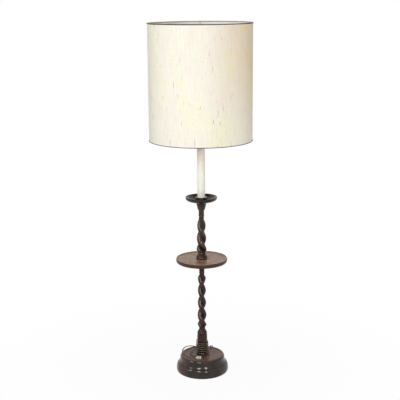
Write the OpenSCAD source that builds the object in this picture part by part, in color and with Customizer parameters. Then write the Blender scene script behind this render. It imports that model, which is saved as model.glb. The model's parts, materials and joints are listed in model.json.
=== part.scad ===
// Candlestick floor lamp: a turned wooden stand with barley-twist columns, a round tray,
// a drip pan with a candle sleeve, and a tall drum shade. Millimetres, floor at z = 0.

/* [Base] */
// Thickness of the felt pad glued under the base
pad_t = 2; // [1:0.5:4]
// Radius of the lower tier where it meets the pad
foot_r = 115; // [105:1:130]
// How far the lower tier swells beyond its foot
foot_swell = 4.6; // [2:0.2:8]
// Height of the widest point of the lower tier above the pad
swell_z = 12; // [8:1:18]
// Height of the lower tier
tier1_h = 41; // [38:1:55]
// How far the step of the upper tier stands in from the foot
step_inset = 6.5; // [4:0.5:12]
// Height of the upper tier, from the step to the crest of its rim
tier2_h = 37.5; // [32:0.5:50]
// Height of the upright band just above the step
band_h = 3; // [1:0.5:6]
// How far the shoulder of the upper tier stands in from the step
cove_inset = 6.5; // [4:0.5:12]
// Height of the rounded shoulder
shoulder_h = 13; // [9:0.5:18]
// Width of the shoulder, from its outside to the crest
shoulder_w = 12; // [8:0.5:15]
// Width of the rim, from the crest down to the dished top
rim_w = 7; // [4:0.5:12]
// Depth of the dished top below the crest
dish_depth = 2.5; // [1:0.5:6]

/* [Ballast and fixings] */
// Radius of the iron ballast disc
ballast_r = 80; // [60:1:95]
// Thickness of the ballast disc
ballast_t = 10; // [6:1:13]
// Radius of the hole through the ballast disc
ballast_hole_r = 24; // [20:1:35]
// Radius of the pocket round the lower end of the pipe
pocket_r = 17; // [15:1:19]
// Outside radius of the threaded lamp pipe
pipe_r = 5.1; // [4.5:0.1:6]
// Bore radius of the lamp pipe
pipe_bore_r = 3.3; // [3:0.1:3.6]
// Radius of the washer under the wood
washer_r = 13; // [11:1:14]
// Thickness of the washer
washer_t = 2; // [1:0.5:3]
// Height of the lock nut
nut_h = 5; // [4:0.5:7]
// Width of the lock nut across its corners
nut_w = 17; // [15:0.5:20]
// How far the pipe reaches below the nut
pipe_tail = 3; // [2:0.5:4]
// Distance of the tier screws from the lamp's axis
screw_at = 55; // [45:1:65]
// Shank radius of the tier screws
screw_r = 2.2; // [1.8:0.1:3]
// Length of the tier screws
screw_l = 50; // [40:1:52]

/* [Lower column] */
// Height of the lower column, from the dished top to the tray
col1_h = 443; // [400:1:480]
// Radius of the foot ring
ring1_r = 27; // [25:0.5:29]
// Height of the foot ring
ring1_h = 10; // [6:0.5:12]
// Radius of the plain post that carries the wound flex
post_r = 22.5; // [20:0.5:23.5]
// Height of the plain post above the foot ring
post_h = 50; // [45:1:60]
// Radius of the urn at its fullest
urn_r = 23.7; // [22:0.1:28]
// Height of the urn
urn_h = 38; // [30:1:50]
// Radius of the neck above the urn
neck1_r = 14; // [13:0.1:16]
// Height of the flare from the urn down to its neck
flare1_h = 27; // [20:1:36]
// Radius of the neck at the top of the lower twist
neck2_r = 11.8; // [10.5:0.1:13]
// Height of the neck at the top of the lower twist
neck2_h = 20; // [12:1:30]
// Radius of the head that carries the tray
head1_r = 26; // [22:0.5:32]
// Height of the head that carries the tray
head1_h = 34; // [28:1:44]

/* [Barley twist] */
// Height in which a strand makes a full turn
twist_pitch = 117; // [90:1:150]
// Height above the dished top at which the lower strands lie left and right
twist_side = 192; // [150:1:240]
// Radius of each strand of the lower twist at its foot
strand1_foot = 13.9; // [13:0.1:16]
// Radius of each strand of the lower twist at its top
strand1_top = 10.6; // [10:0.1:12]
// Offset of the lower strands from the axis at their foot
spread1_foot = 9.2; // [5:0.1:9.5]
// Offset of the lower strands from the axis at their top
spread1_top = 7.4; // [4:0.1:8]
// Radius of each strand of the upper twist at its foot
strand2_foot = 16.4; // [15:0.1:18]
// Radius of each strand of the upper twist at its top
strand2_top = 10.9; // [10:0.1:13]
// Offset of the upper strands from the axis at their foot
spread2_foot = 7.4; // [4:0.1:9]
// Offset of the upper strands from the axis at their top
spread2_top = 6.8; // [4:0.1:8]
// Height above the collar at which the upper strands lie left and right
upper_side = 16.5; // [0:0.5:58]

/* [Tray] */
// Radius of the tray
tray_r = 115.8; // [100:1:140]
// Thickness of the tray at its lip
tray_t = 20; // [16:1:26]
// Depth of the tray's top below its lip
tray_dish = 4; // [2:0.5:7]
// Width of the tray's lip
lip_w = 5; // [3:0.5:9]
// Radius of the turned collar on the tray
collar_r = 26; // [23:0.5:32]
// Height of the collar
collar_h = 22; // [18:1:30]

/* [Upper column] */
// Height of the upper column, from the collar to the drip pan
col2_h = 231; // [210:1:260]
// Radius of the plain foot above the collar
neck3_r = 18.8; // [17.5:0.1:20]
// Height of the plain foot above the collar
neck3_h = 9; // [7:0.5:16]
// Radius of the neck at the top of the upper twist
neck4_r = 12.2; // [11:0.1:14]
// Height of the neck at the top of the upper twist
neck4_h = 21; // [14:1:28]
// Radius of the cushion under the capital
cushion_r = 20.2; // [18:0.1:21]
// Radius of the capital under the drip pan
capital_r = 21.8; // [21:0.1:24]
// Height of the cushion and the capital together
capital_h = 34; // [32:1:44]

/* [Drip pan and candle] */
// Radius of the drip pan at its rim
pan_r = 71.1; // [60:0.5:85]
// Radius of the drip pan's foot
pan_foot_r = 22; // [20:0.5:25]
// Height of the drip pan's foot
pan_foot_h = 8; // [5:0.5:10]
// Height of the bowl above its foot
pan_h = 26; // [23:0.5:34]
// Radius at which the bowl's flat underside turns up
pan_belly_r = 44; // [38:1:54]
// Depth of the bowl outside, from its rim to its flat underside
pan_belly = 20.5; // [19.5:0.5:22.5]
// Depth of the bowl inside
pan_depth = 18; // [12:0.5:22]
// Radius of the flat floor inside the bowl
pan_floor_r = 38; // [34:0.5:42]
// Thickness of the bowl at its rim
pan_rim_t = 3.6; // [2.5:0.1:6]
// Outside radius of the ring that the candle stands in
cup_r = 28; // [25:0.5:31]
// Height of the ring that the candle stands in
cup_h = 17; // [13:0.5:18]
// Radius of the candle sleeve
candle_r = 17.5; // [15:0.5:20]
// Wall of the candle sleeve
candle_wall = 2; // [1:0.25:3]
// Length of the candle sleeve
candle_l = 489; // [440:1:540]
// Thickness of the brass cap on the candle
cap_t = 3; // [2:0.5:5]

/* [Socket and bulb] */
// Radius of the socket's shell
shell_r = 16.2; // [15.5:0.1:18]
// Wall of the socket's shell
shell_wall = 0.6; // [0.4:0.1:1]
// Height of the socket's cap
socket_cap_h = 18; // [15:0.5:22]
// Height of the socket's shell
shell_h = 48; // [44:1:54]
// Radius of the turned knob of the switch
knob_r = 6; // [5:0.25:8]
// Length of the knob
knob_l = 12; // [9:0.5:16]
// Radius of the knob's shaft
shaft_r = 1.6; // [1.3:0.1:2]
// Radius of the bulb's glass at its fullest
bulb_r = 30; // [25:0.5:34]
// Length of the bulb's glass
bulb_l = 82; // [74:1:95]

/* [Harp and finial] */
// Height of the harp, from its saddle's seat to the seat of the shade
harp_h = 258; // [245:1:290]
// Half the width of the harp at its widest
harp_w = 56; // [50:1:64]
// Distance of the harp's legs from the axis
leg_x = 24; // [22.5:0.5:28]
// Radius of the harp's wire
wire_r = 2; // [1.6:0.1:2.4]
// Thickness of the saddle's strip
strip_t = 2; // [1.5:0.1:3]
// Width of the saddle's strip
strip_w = 12; // [10.5:0.5:16]
// Length of each sliding ferrule
ferrule_l = 17; // [14:0.5:20]
// Radius of each sliding ferrule
ferrule_r = 3.8; // [3.2:0.1:5]
// How far a ferrule slides up its leg
ferrule_lift = 12; // [9:0.5:14]
// Radius of the threaded stud that takes the finial
stud_r = 3.2; // [2.8:0.1:3.6]
// Length of the stud above the shade's hub
stud_l = 10; // [8:0.5:12]
// Radius of the finial's ball
finial_r = 7.5; // [6.5:0.25:9]

/* [Shade] */
// Outside radius of the drum shade, over its trims
shade_r = 228.5; // [200:0.5:250]
// Height of the drum shade, over its trims
shade_h = 508; // [450:1:540]
// Height of the shade's top edge above the seat of its hub
shade_rise = 31; // [26:1:45]
// Thickness of the fabric and its backing
fabric_t = 1.6; // [1:0.1:3]
// How far a trim stands proud of the fabric
trim_t = 1.2; // [0.8:0.1:2]
// Height of each trim
trim_h = 5; // [3:0.5:12]
// Radius of the wire of the rings and the spider
ring_r = 1.5; // [1.2:0.1:2]
// Radius of the spider's hub
hub_r = 9; // [8:0.5:12]
// Thickness of the spider's hub
hub_t = 2; // [1.5:0.1:3]
// Radius of the bend at the end of each spider arm
arm_bend = 12; // [8:1:14]

/* [Flex and plug] */
// Diameter of the flex
flex_d = 5; // [4:0.1:5.4]
// Height of the flex's exit above the floor
exit_z = 21; // [20:1:22]
// Radius of the bushing where the flex leaves the base
bushing_r = 5; // [4.6:0.1:6]
// How far the bushing stands out of the base
bushing_l = 12; // [10:0.5:13]
// Height of the lowest tight turn's start above the dished top
wind_low = 22; // [20:0.5:26]
// Height that each tight turn gains
wind_pitch = 9; // [8:0.1:10]
// Length of the plug's body
plug_l = 26; // [22:0.5:27]
// Width of the plug's body
plug_w = 17; // [16:0.5:20]
// Height of the plug's body
plug_h = 13; // [12.5:0.1:14]
// Length of the plug's blades
blade_l = 16; // [14:0.5:18]

/* [Hidden] */

$fn = 96;

// Clearances
seat_gap = 0.2;        // between a piece and the hole or wall it sits in
run_gap = 0.1;         // between a moving piece and its shaft or bore
cut = 1;               // how far a cutting shape runs past the face it cuts

// Heights of the stack, from the floor up
z_foot = pad_t;
z_step = z_foot + tier1_h;
z_crest = z_step + tier2_h;
z_dish = z_crest - dish_depth;
z_tray = z_dish + col1_h;
z_lip = z_tray + tray_t;
z_board = z_lip - tray_dish;
z_collar = z_board + collar_h;
z_pan = z_collar + col2_h;
z_bowl = z_pan + pan_foot_h;
z_rim = z_bowl + pan_h;
z_floor = z_rim - pan_depth;
z_candle = z_floor + candle_l;
z_saddle = z_candle + cap_t;
z_socket = z_saddle + strip_t;
z_shell = z_socket + socket_cap_h;
z_hub = z_saddle + harp_h;
z_top = z_hub + shade_rise;
z_hem = z_top - shade_h;

// Radii of the base
step_r = foot_r - step_inset;
cove_r = step_r - cove_inset;
crest_r = cove_r - shoulder_w;
dish_r = crest_r - rim_w;

// The pipe and the holes for it
wood_bore_r = pipe_r + 0.5;
metal_bore_r = pipe_r + seat_gap;
z_washer = z_step - washer_t;
z_nut = z_washer - nut_h;
z_pipe = z_nut - pipe_tail;
z_pipe_top = z_shell - 4;
flex_r = flex_d / 2;
inner_r = min(flex_r, pipe_bore_r - seat_gap);
exit_bend = z_pipe - exit_z;
spot_y = foot_r + 2;
mouth_y = spot_y + bushing_l;
flange_t = 2;

// Building blocks for turned outlines; each point is [radius, height]
// An S-shaped sweep between two points, upright at both of its ends
function sweep_s(a, b, n = 10) =
    [for (i = [0 : n]) let (t = i / n)
        [a[0] + (b[0] - a[0]) * (1 - cos(180 * t)) / 2, a[1] + (b[1] - a[1]) * t]];
// An S-shaped sweep between two points, level at both of its ends
function sweep_level(a, b, n) =
    [for (i = [1 : n]) let (t = i / n)
        [a[0] + (b[0] - a[0]) * t, a[1] + (b[1] - a[1]) * (1 - cos(180 * t)) / 2]];
// A rounded swelling of height `out` between two points
function swelling(a, b, out, n = 8) =
    [for (i = [0 : n]) let (t = i / n)
        [a[0] + (b[0] - a[0]) * t + out * sin(180 * t), a[1] + (b[1] - a[1]) * t]];
// A quarter of an ellipse that leaves the first point upright
function quarter_up(a, b, n = 8) =
    [for (i = [0 : n]) let (t = 90 * i / n)
        [b[0] + (a[0] - b[0]) * cos(t), a[1] + (b[1] - a[1]) * sin(t)]];
// A quarter of an ellipse that leaves the first point level
function quarter_out(a, b, n = 8) =
    [for (i = [0 : n]) let (t = 90 * i / n)
        [a[0] + (b[0] - a[0]) * sin(t), b[1] + (a[1] - b[1]) * cos(t)]];
// A curve between two points that follows a power of the height
function power_curve(a, b, p, n = 12) =
    [for (i = [0 : n]) let (t = i / n)
        [a[0] + (b[0] - a[0]) * pow(t, p), a[1] + (b[1] - a[1]) * t]];
// A smooth step from 0 to 1
function smooth(x) = let (t = max(0, min(1, x))) t * t * (3 - 2 * t);

// A solid of revolution with a hole along its axis
module turned(outline, bore) {
    low = outline[0][1];
    high = outline[len(outline) - 1][1];
    rotate_extrude($fn = 128) polygon(concat([[bore, low]], outline, [[bore, high]]));
}

// A tube or a plain disc with a hole
module ring(r_out, r_in, z, h) {
    translate([0, 0, z]) difference() {
        cylinder(r = r_out, h = h);
        translate([0, 0, -cut]) cylinder(r = r_in, h = h + 2 * cut);
    }
}

function unit(v) = v / norm(v);
// Directions along a path, with the first and last given where they meet something
function headings(path, first, last) = let (n = len(path))
    [for (i = [0 : n - 1])
        i == 0 ? unit(first) : i == n - 1 ? unit(last) : unit(path[i + 1] - path[i - 1])];

// A closed round tube along a path
module tube(path, first, last, r, sides) {
    dirs = headings(path, first, last);
    n = len(path);
    start = unit(cross(dirs[0], [0.3, 0.2, 1]));
    ups = [for (i = 0, u = start; i < n;
                i = i + 1, u = i < n ? unit(u - (u * dirs[i]) * dirs[i]) : u) u];
    points = [for (i = [0 : n - 1]) let (v = cross(dirs[i], ups[i]))
        for (j = [0 : sides - 1]) let (a = 360 * j / sides)
            path[i] + r * (cos(a) * ups[i] + sin(a) * v)];
    walls = [for (i = [0 : n - 2]) for (j = [0 : sides - 1]) let (
            k = (j + 1) % sides, lo = i * sides, hi = lo + sides)
        each [[lo + j, hi + j, hi + k], [lo + j, hi + k, lo + k]]];
    ends = [
        [for (j = [0 : sides - 1]) j],
        [for (j = [sides - 1 : -1 : 0]) (n - 1) * sides + j]
    ];
    polyhedron(points, concat(walls, ends));
}

// ---------------------------------------------------------------- base

module felt_pad() {
    color("#2f3b30") cylinder(r = foot_r - 2, h = pad_t);
}

module ballast_disc() {
    color("#3c3c3e") ring(ballast_r - seat_gap, ballast_hole_r, z_foot, ballast_t);
}

// Places its children at the four tier screws
module at_screws() {
    for (a = [45 : 90 : 315]) rotate([0, 0, a]) translate([screw_at, 0, 0]) children();
}

// A countersunk screw, or the hole for it when grown by a clearance
module tier_screw(grow = 0) {
    head_h = 3;
    translate([0, 0, z_foot + ballast_t]) {
        cylinder(r1 = 2 * screw_r + grow, r2 = screw_r + grow, h = head_h);
        cylinder(r = screw_r + grow, h = screw_l + grow);
    }
}

module base_foot() {
    widest = [foot_r + foot_swell, z_foot + swell_z];
    outline = concat(
        quarter_out([foot_r, z_foot], widest, 6),
        quarter_up(widest, [step_r, z_step], 12)
    );
    color("#2a1712") difference() {
        turned(outline, pocket_r);
        translate([0, 0, z_foot - cut]) cylinder(r = ballast_r, h = ballast_t + cut);
        translate([0, 0, exit_z]) rotate([-90, 0, 0]) cylinder(r = bushing_r, h = foot_r * 2);
        translate([0, spot_y, exit_z]) rotate([-90, 0, 0]) cylinder(r = bushing_r + 3, h = foot_r);
        at_screws() tier_screw(seat_gap);
    }
}

module base_cap() {
    cove_top = z_crest - shoulder_h;
    cove_n = 10;
    cove_bottom = z_step + band_h;
    cove = [for (i = [1 : cove_n]) let (t = i / cove_n)
        [cove_r + (step_r - 0.5 - cove_r) * pow(1 - sin(90 * t), 1.25),
         cove_bottom + (cove_top - cove_bottom) * t]];
    outline = concat(
        [[step_r - 0.5, z_step], [step_r - 0.5, cove_bottom]],
        cove,
        quarter_up([cove_r, cove_top], [crest_r, z_crest], 10),
        sweep_level([crest_r, z_crest], [dish_r, z_dish], 8)
    );
    color("#33201a") difference() {
        turned(outline, wood_bore_r);
        at_screws() tier_screw(seat_gap);
    }
}

module base_screws() {
    color("silver") at_screws() tier_screw();
}

module pipe_washer() {
    color("silver") ring(washer_r, metal_bore_r, z_washer, washer_t);
}

module lock_nut() {
    color("silver") difference() {
        translate([0, 0, z_nut]) cylinder(r = nut_w / 2, h = nut_h, $fn = 6);
        translate([0, 0, z_nut - cut]) cylinder(r = metal_bore_r, h = nut_h + 2 * cut);
    }
}

module lamp_pipe() {
    color("silver") ring(pipe_r, pipe_bore_r, z_pipe, z_pipe_top - z_pipe);
}

// ---------------------------------------------------------------- barley twist

twist_sides = 36;       // sides of a section of the twist
twist_step = 12;        // degrees that each section turns from the one below
fillet = 0.6;           // the turned ends stand this far proud of the strands that run into them
sink = 0.3;             // the strands run this far into the turned ends
part_low = 0.07;        // share of the twist in which the strands part above its foot
part_high = 0.08;       // share of the twist in which they close again below its top

// Outline radius of two round strands of radius `a`, each `b` off the axis
function strands(a, b, phi) = b * abs(cos(phi)) + sqrt(a * a - b * b * sin(phi) * sin(phi));

// Two strands turning left-handed between z0 and z1, which lie left and right at height
// `side`; their radius runs from a0 to a1 by the power p, and they part from the axis by
// b0 at the foot and b1 at the top, and close again at both ends
module twist(z0, z1, a0, a1, p, b0, b1, side) {
    n = ceil(360 * (z1 - z0) / twist_pitch / twist_step);
    m = twist_sides;
    sections = [for (i = [0 : n]) let (
            t = i / n,
            z = z0 - sink + (z1 - z0 + 2 * sink) * t,
            a = a0 + (a1 - a0) * (1 - pow(1 - t, p)),
            b = b1 + (b0 - b1) * (1 - t) * (1 - t),
            part = b * smooth(t / part_low) * smooth((1 - t) / part_high),
            turn = -360 * (z - side) / twist_pitch)
        [for (j = [0 : m - 1]) let (phi = 360 * j / m, r = strands(a, part, phi))
            [r * cos(phi + turn), r * sin(phi + turn), z]]];
    points = [for (s = sections) each s];
    walls = [for (i = [0 : n - 1]) for (j = [0 : m - 1]) let (
            k = (j + 1) % m, lo = i * m, hi = lo + m)
        each [[lo + j, hi + j, hi + k], [lo + j, hi + k, lo + k]]];
    ends = [
        [for (j = [0 : m - 1]) j],
        [for (j = [m - 1 : -1 : 0]) n * m + j]
    ];
    polyhedron(points, concat(walls, ends));
}

module lower_column() {
    z_post = z_dish + ring1_h;
    z_urn = z_post + post_h;
    z_neck = z_urn + urn_h;
    z_twist = z_neck + flare1_h + 4;
    z_head = z_tray - head1_h;
    z_end = z_head - neck2_h;
    bead_r = 22.4;
    foot = concat(
        [[ring1_r - 1.5, z_dish]],
        swelling([ring1_r - 1.5, z_dish], [ring1_r - 2, z_post], 1.5, 8),
        quarter_out([ring1_r - 3, z_post], [post_r, z_post + 4], 3),
        [[post_r, z_urn - 1]],
        swelling([post_r, z_urn], [urn_r - 1.2, z_urn + urn_h], 0.8, 10),
        sweep_s([urn_r - 2.4, z_neck + 0.8], [bead_r - 0.6, z_neck + 2], 2),
        swelling([bead_r - 0.6, z_neck + 2.5], [bead_r - 0.6, z_neck + 10], 0.9, 6),
        sweep_s([bead_r - 1, z_neck + 10.6], [neck1_r, z_neck + flare1_h], 10),
        [[strand1_foot + fillet, z_twist]]
    );
    head = concat(
        [[strand1_top + fillet, z_end]],
        swelling([neck2_r, z_end + 0.5], [neck2_r, z_end + 5], 1.3, 5),
        [[neck2_r, z_head - 7]],
        swelling([neck2_r, z_head - 6], [neck2_r + 0.4, z_head - 1], 0.9, 5),
        sweep_s([neck2_r + 0.6, z_head], [head1_r - 3, z_tray - 8], 10),
        swelling([head1_r - 1.5, z_tray - 7], [head1_r - 1.5, z_tray], 1.5, 6)
    );
    color("#2b1410") difference() {
        union() {
            turned(foot, 0);
            twist(z_twist, z_end, strand1_foot, strand1_top, 3, spread1_foot, spread1_top,
                z_dish + twist_side);
            turned(head, 0);
        }
        translate([0, 0, z_dish - cut]) cylinder(r = wood_bore_r, h = col1_h + 2 * cut);
    }
}

module upper_column() {
    z_twist = z_collar + neck3_h;
    z_cap = z_pan - capital_h;
    z_end = z_cap - neck4_h;
    foot = concat(
        [[neck3_r - 0.5, z_collar]],
        swelling([neck3_r - 0.5, z_collar], [neck3_r - 0.2, z_twist - 2.5], 0.5, 6),
        [[strand2_foot + fillet, z_twist]]
    );
    head = concat(
        [[strand2_top + fillet, z_end]],
        swelling([neck4_r, z_end + 0.5], [neck4_r, z_end + 5], 0.7, 5),
        [[neck4_r, z_cap]],
        sweep_s([neck4_r, z_cap + 0.5], [cushion_r - 2, z_pan - 15], 10),
        swelling([cushion_r - 2, z_pan - 14], [cushion_r, z_pan - 6], 0.6, 6),
        power_curve([cushion_r + 0.3, z_pan - 5.5], [capital_r, z_pan - 2], 2, 4),
        [[capital_r, z_pan]]
    );
    color("#2b1410") difference() {
        union() {
            turned(foot, 0);
            twist(z_twist, z_end, strand2_foot, strand2_top, 1, spread2_foot, spread2_top,
                z_collar + upper_side);
            turned(head, 0);
        }
        translate([0, 0, z_collar - cut]) cylinder(r = wood_bore_r, h = col2_h + 2 * cut);
    }
}

// ---------------------------------------------------------------- tray

module tray() {
    mid = [tray_r, z_tray + tray_t * 0.55];
    lip_out = tray_r - 2.5;
    outline = concat(
        [[tray_r - 9, z_tray]],
        quarter_out([tray_r - 9, z_tray], mid, 8),
        quarter_up(mid, [lip_out, z_lip], 8),
        sweep_level([lip_out, z_lip], [lip_out - lip_w, z_board], 8)
    );
    color("#3d2a22") turned(outline, wood_bore_r);
}

module tray_collar() {
    half = collar_h * 0.45;
    outline = concat(
        [[collar_r - 1.6, z_board]],
        swelling([collar_r - 1.6, z_board], [collar_r - 2.2, z_board + half], 1.6, 8),
        swelling([collar_r - 2.6, z_board + half + 1], [collar_r - 3.2, z_collar - 4], 1.9, 8),
        quarter_out([collar_r - 4, z_collar - 3.6], [neck3_r - 0.5, z_collar], 4)
    );
    color("#2b1410") turned(outline, wood_bore_r);
}

// ---------------------------------------------------------------- drip pan and candle

module drip_pan() {
    inner_rim = pan_r - pan_rim_t;
    outline = concat(
        [[pan_foot_r, z_pan], [pan_foot_r, z_bowl]],
        quarter_out([pan_belly_r, z_rim - pan_belly], [pan_r, z_rim - 5], 10),
        quarter_up([pan_r, z_rim - 2], [(pan_r + inner_rim) / 2, z_rim], 4),
        [for (i = [14 : -1 : 0]) let (t = i / 14)
            [pan_floor_r + (inner_rim - pan_floor_r) * pow(t, 0.72),
             z_floor + (pan_depth - 0.6) * t]]
    );
    color("#2b1714") turned(outline, wood_bore_r);
}

module candle_cup() {
    outline = concat(
        [[cup_r - 3.5, z_floor], [cup_r - 3.5, z_floor + 2]],
        sweep_s([cup_r - 4.5, z_floor + 3], [cup_r, z_floor + cup_h - 5], 6),
        quarter_up([cup_r, z_floor + cup_h - 4], [candle_r + 3, z_floor + cup_h], 6)
    );
    color("#2b1714") turned(outline, candle_r + seat_gap);
}

module candle_sleeve() {
    color("#efe8d8") ring(candle_r, candle_r - candle_wall, z_floor, candle_l);
}

module candle_cap() {
    hub_h = 8;
    inner = candle_r - candle_wall - seat_gap;
    color("#b08d45") difference() {
        union() {
            translate([0, 0, z_candle]) cylinder(r = candle_r + 0.6, h = cap_t);
            translate([0, 0, z_candle - hub_h]) cylinder(r = inner, h = hub_h + cut);
        }
        translate([0, 0, z_candle - hub_h - cut]) cylinder(r = metal_bore_r, h = hub_h + cap_t + 2 * cut);
        translate([0, 0, z_candle - hub_h - cut]) cylinder(r = inner - 1.5, h = hub_h + cut);
    }
}

// ---------------------------------------------------------------- harp

tab_h = 11;                       // height of the saddle's upright tabs
post_top = tab_h + 8;             // height of the round posts on them
harp_bend = 60;                   // radius of the two bends in each leg

// A straight piece of wire along Z
module wire(x, z, h) {
    translate([x, 0, z]) cylinder(r = wire_r, h = h, $fn = 32);
}

module harp_saddle() {
    bend = 5;
    inner = bend - strip_t;
    half = leg_x + strip_t / 2;
    color("#b08d45") {
        difference() {
            translate([0, strip_w / 2, z_saddle]) rotate([90, 0, 0]) linear_extrude(strip_w) union() {
                translate([-half + bend, 0]) square([2 * (half - bend), strip_t]);
                for (s = [-1, 1]) scale([s, 1]) {
                    translate([half - strip_t, bend]) square([strip_t, tab_h - bend]);
                    translate([half - bend, bend]) intersection() {
                        difference() {
                            circle(r = bend);
                            circle(r = inner);
                        }
                        translate([0, -bend]) square(bend);
                    }
                }
            }
            translate([0, 0, z_saddle - cut]) cylinder(r = metal_bore_r, h = strip_t + 2 * cut);
        }
        for (s = [-1, 1]) wire(s * leg_x, z_saddle + tab_h - 2, post_top - tab_h + 2);
    }
}

module harp() {
    swing = acos(1 - (harp_w - leg_x) / (2 * harp_bend));
    leg_top = post_top + ferrule_l + ferrule_lift;
    wide = leg_top + 2 * harp_bend * sin(swing);
    boss_t = 3;
    arch_z = harp_h - wire_r - harp_w - boss_t / 2;
    // Half of the bow: out of the leg, up, and over to the middle
    half = concat(
        [[leg_x, leg_top - 2]],
        [for (i = [0 : 7]) let (a = swing * i / 7)
            [leg_x + harp_bend * (1 - cos(a)), leg_top + harp_bend * sin(a)]],
        [for (i = [1 : 7]) let (a = swing * (1 - i / 7))
            [harp_w - harp_bend * (1 - cos(a)), wide - harp_bend * sin(a)]],
        [for (i = [0 : 13]) let (a = 90 * i / 13)
            [harp_w * cos(a), arch_z + harp_w * sin(a)]]
    );
    last = len(half) - 1;
    bow = concat(
        [for (i = [0 : last]) [-half[i][0], 0, half[i][1]]],
        [for (i = [last - 1 : -1 : 0]) [half[i][0], 0, half[i][1]]]
    );
    color("#b08d45") translate([0, 0, z_saddle]) {
        tube(bow, [0, 0, 1], [0, 0, -1], wire_r - 0.2, 12);
        for (s = [-1, 1]) wire(s * leg_x, post_top, leg_top - post_top);
        translate([0, 0, harp_h - boss_t - wire_r]) cylinder(r = 6.5, h = boss_t + wire_r);
        translate([0, 0, harp_h - boss_t]) cylinder(r = stud_r, h = boss_t + hub_t + stud_l);
    }
}

module ferrule(x) {
    color("#c09a4a") translate([x, 0, z_saddle + tab_h]) difference() {
        cylinder(r = ferrule_r, h = ferrule_l, $fn = 48);
        translate([0, 0, -cut]) cylinder(r = wire_r + run_gap, h = ferrule_l + 2 * cut, $fn = 32);
    }
}

module ferrule_left() {
    ferrule(-leg_x);
}

module ferrule_right() {
    ferrule(leg_x);
}

module finial() {
    z0 = z_hub + hub_t;
    bore_l = stud_l + 0.5;
    waist = finial_r * 0.55;
    ball_z = z0 + 4 + finial_r * 1.25;
    outline = concat(
        [[stud_r + 3.2, z0], [stud_r + 3.2, z0 + 2.5]],
        sweep_s([stud_r + 3, z0 + 3], [max(waist, stud_r + 1.4), z0 + 5], 4),
        [for (a = [-50 : 10 : 70]) [finial_r * cos(a), ball_z + finial_r * sin(a)]],
        [[2, ball_z + finial_r + 1], [0, ball_z + finial_r + 2]]
    );
    color("#b08d45") difference() {
        rotate_extrude() polygon(concat([[0, z0]], outline));
        translate([0, 0, z0 - cut]) cylinder(r = stud_r + run_gap, h = bore_l + cut, $fn = 32);
    }
}

// ---------------------------------------------------------------- socket and bulb

core_r = shell_r - shell_wall - 1.6;
knob_z = z_shell + 13;
contact_z = z_shell + 22;

module socket_cap() {
    wall = 0.8;
    z0 = z_socket;
    h = socket_cap_h;
    outline = concat(
        [[8, z0], [8, z0 + 5]],
        sweep_s([8, z0 + 5.5], [shell_r - 1, z0 + h - 6], 8),
        [[shell_r + 0.8, z0 + h - 5], [shell_r + 0.8, z0 + h]],
        [[shell_r + 0.8 - wall, z0 + h], [shell_r + 0.8 - wall, z0 + h - 4.5]],
        sweep_s([shell_r - 1 - wall, z0 + h - 5.5], [7.4, z0 + 5], 8),
        [[metal_bore_r, z0 + 5]]
    );
    color("#b8924a") rotate_extrude() polygon(concat([[metal_bore_r, z0]], outline));
}

module socket_shell() {
    bead = 0.6;
    top = z_shell + shell_h;
    outer = concat(
        [[shell_r - 0.2, z_shell - 3], [shell_r - 0.2, z_shell]],
        swelling([shell_r, z_shell + 0.5], [shell_r, z_shell + 4], bead, 5),
        [[shell_r, z_shell + 26]],
        swelling([shell_r - 0.3, z_shell + 28], [shell_r - 0.3, z_shell + 32], bead, 5),
        [[shell_r - 0.4, top]]
    );
    inner_r = shell_r - 0.4 - shell_wall;
    color("#b8924a") difference() {
        rotate_extrude() polygon(concat([[inner_r, z_shell - 3]], outer, [[inner_r, top]]));
        translate([0, 0, knob_z]) rotate([90, 0, 0]) cylinder(r = shaft_r + 0.8, h = 2 * shell_r);
    }
}

module socket_core() {
    base_t = 18;
    color("#1d1a18") difference() {
        union() {
            translate([0, 0, z_shell - 3]) cylinder(r = core_r, h = base_t);
            translate([0, 0, z_shell - 3]) cylinder(r = 4, h = contact_z - z_shell + 3);
        }
        translate([0, -core_r - cut, knob_z]) rotate([-90, 0, 0])
            cylinder(r = shaft_r + run_gap, h = core_r + cut - 3, $fn = 32);
        translate([0, 0, z_shell - 4]) cylinder(r = pipe_bore_r, h = 9);
    }
}

module screw_shell() {
    low = z_shell + 15;
    color("#c8a050") ring(14, 13.5, low, shell_h - 17);
}

module switch_knob() {
    flutes = 16;
    color("#161312") translate([0, 0, knob_z]) rotate([90, 0, 0]) {
        translate([0, 0, 4]) cylinder(r = shaft_r, h = shell_r + 5, $fn = 32);
        translate([0, 0, shell_r + 5]) difference() {
            union() {
                cylinder(r = knob_r, h = knob_l - 2);
                translate([0, 0, knob_l - 2]) cylinder(r1 = knob_r, r2 = knob_r - 2, h = 2);
            }
            for (i = [0 : flutes - 1]) rotate([0, 0, i * 360 / flutes])
                translate([knob_r + 0.2, 0, -cut]) cylinder(r = 0.6, h = knob_l + 2 * cut, $fn = 16);
        }
    }
}

module bulb_base() {
    z0 = contact_z;
    color("#b9b9b4") rotate_extrude() polygon(concat(
        [[0, z0], [4, z0], [4.5, z0 + 1.5], [11.6, z0 + 4.5]],
        [for (i = [0 : 24]) [12.5 + 0.5 * cos(360 * i / 4), z0 + 5 + i * 0.9]],
        [[12.6, z0 + 27.6], [0, z0 + 27.6]]
    ));
}

module bulb_glass() {
    z0 = contact_z + 27.6;
    ball_z = z0 + bulb_l - bulb_r;
    neck = 13.4;
    join_a = 28;
    color("#f4f1e6") rotate_extrude() polygon(concat(
        [[0, z0], [neck, z0]],
        sweep_s([neck, z0 + 4], [bulb_r * cos(join_a), ball_z - bulb_r * sin(join_a)], 10),
        [for (a = [-join_a + 6 : 6.2 : 90]) [bulb_r * cos(a), ball_z + bulb_r * sin(a)]],
        [[0, ball_z + bulb_r]]
    ));
}

// ---------------------------------------------------------------- shade

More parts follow.
